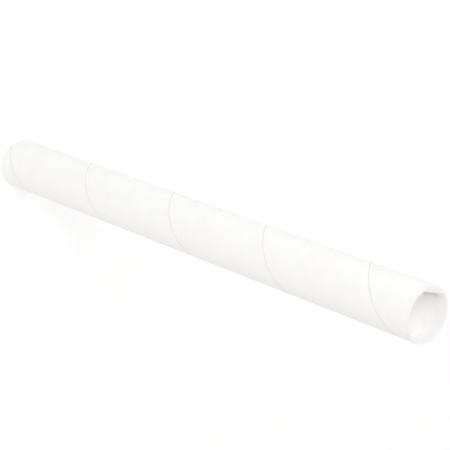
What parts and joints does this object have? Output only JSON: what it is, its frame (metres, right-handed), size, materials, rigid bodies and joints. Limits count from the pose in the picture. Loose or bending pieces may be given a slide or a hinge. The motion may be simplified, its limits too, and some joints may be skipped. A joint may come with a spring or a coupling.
{
  "type": "cardboard mailing tube",
  "caption": "White spiral-wound cardboard mailing tube with helical ply seams, closed at both ends by recessed push-in plugs with finger tabs.",
  "frame": {"origin": "middle of the bottom plug's lowest face, on which the tube stands", "axes": "+Z along the tube's axis towards the end nearer in the picture; both plugs' finger tabs are on the -X side"},
  "size_m": [0.0548, 0.0548, 0.6114],
  "materials": {
    "tube_board": "smooth white paper liner over board, matte, with grey-tan cut ends",
    "plug_plastic": "soft white moulded plastic with a faint satin sheen"
  },
  "bodies": {
    "tube": {"tube": "tube_board"},
    "top_plug": {"top_plug": "plug_plastic"},
    "bottom_plug": {"bottom_plug": "plug_plastic"}
  },
  "joints": [
    {"name": "top_plug_pull", "type": "slide", "parent": "tube", "child": "top_plug", "axis": [0, 0, 1], "range_m": [0, 0.04]},
    {"name": "bottom_plug_pull", "type": "slide", "parent": "tube", "child": "bottom_plug", "axis": [0, 0, -1], "range_m": [0, 0.04]}
  ]
}
